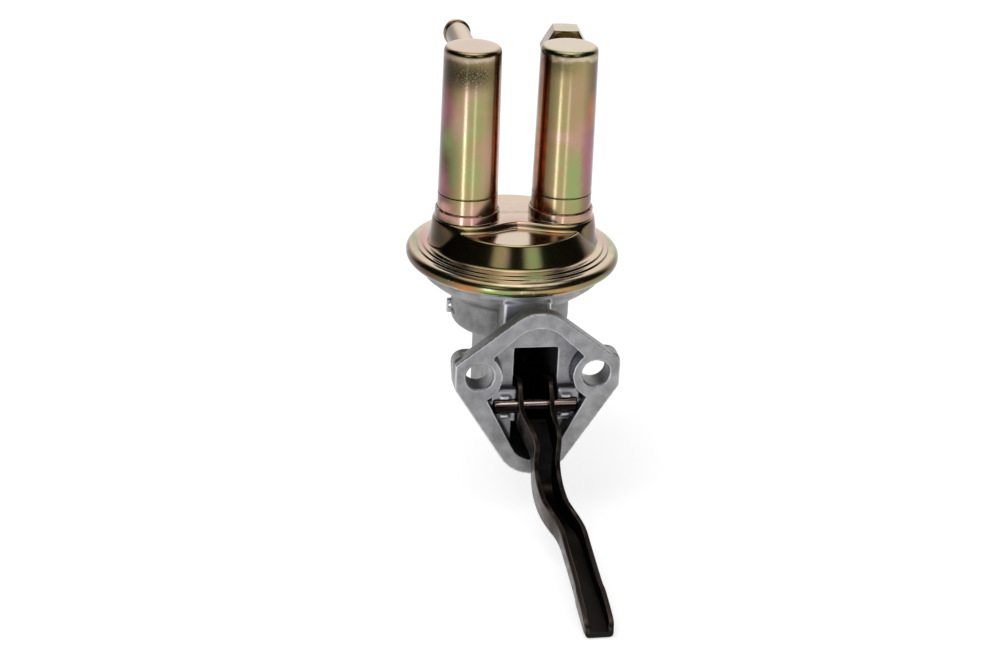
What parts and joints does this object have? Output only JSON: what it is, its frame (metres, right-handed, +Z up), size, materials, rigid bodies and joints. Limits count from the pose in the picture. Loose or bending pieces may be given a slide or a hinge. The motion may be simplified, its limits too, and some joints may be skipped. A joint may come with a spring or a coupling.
{
  "type": "mechanical fuel pump",
  "caption": "Cam-driven diaphragm fuel pump with a bolted flange, a bent rocker arm, a pressed cover and tall canisters with an inlet tube and an outlet fitting.",
  "frame": {"origin": "midway between the two bolt holes, on the flange face that meets the engine", "axes": "+X to the right of someone who looks at that face, +Y away from the engine, +Z up along the pump"},
  "size_m": [0.089, 0.196, 0.1852],
  "materials": {
    "die_cast_aluminium": "die cast, fine grain, matt",
    "yellow_zinc": "steel with glossy yellow zinc plating, green and pink tints",
    "black_steel": "stamped steel, oiled black",
    "pin_steel": "ground steel, dark",
    "plain_steel": "plain",
    "spring_steel": "drawn wire",
    "valve_brass": "turned",
    "fuel_rubber": "moulded, matt"
  },
  "bodies": {
    "housing": {"lower_body": "die_cast_aluminium", "pivot_pin": "pin_steel", "top_cover": "yellow_zinc", "inlet_canister": "yellow_zinc", "outlet_canister": "yellow_zinc", "inlet_tube": "yellow_zinc", "outlet_fitting": "yellow_zinc", "valve_carrier": "die_cast_aluminium", "inlet_valve_cage": "valve_brass", "inlet_valve_spring": "spring_steel", "inlet_valve_retainer": "plain_steel", "outlet_valve_cage": "valve_brass", "outlet_valve_spring": "spring_steel", "outlet_valve_retainer": "plain_steel", "diaphragm": "fuel_rubber", "diaphragm_spring": "spring_steel", "rod_seal": "fuel_rubber", "seal_retainer": "plain_steel", "return_spring": "spring_steel"},
    "arm": {"rocker_arm": "black_steel"},
    "rod": {"pull_rod": "plain_steel", "upper_plate": "plain_steel", "lower_plate": "plain_steel", "rod_washer": "plain_steel"},
    "inlet_disc": {"inlet_valve_disc": "fuel_rubber"},
    "outlet_disc": {"outlet_valve_disc": "fuel_rubber"}
  },
  "joints": [
    {"name": "arm_pivot", "type": "hinge", "parent": "housing", "child": "arm", "pos_m": [0, 0.0035, -0.01535], "axis": [-1, 0, 0], "range_deg": [0, 8], "stiffness_Nm_per_rad": 6, "springref_deg": -2.86, "deforming": ["return_spring"]},
    {"name": "rod_slide", "type": "slide", "parent": "housing", "child": "rod", "axis": [0, 0, -1], "range_m": [0, 0.0071], "deforming": ["diaphragm_spring", "diaphragm"]},
    {"name": "inlet_valve_lift", "type": "slide", "parent": "housing", "child": "inlet_disc", "axis": [0, 0, -1], "range_m": [0, 0.0012], "stiffness_N_per_m": 30, "springref_m": -0.001, "deforming": ["inlet_valve_spring"]},
    {"name": "outlet_valve_lift", "type": "slide", "parent": "housing", "child": "outlet_disc", "axis": [0, 0, 1], "range_m": [0, 0.0012], "stiffness_N_per_m": 30, "springref_m": -0.001, "deforming": ["outlet_valve_spring"]}
  ],
  "couplings": [
    {"joint": "rod_slide", "follows": "arm_pivot", "m_per_rad": 0.0505}
  ]
}
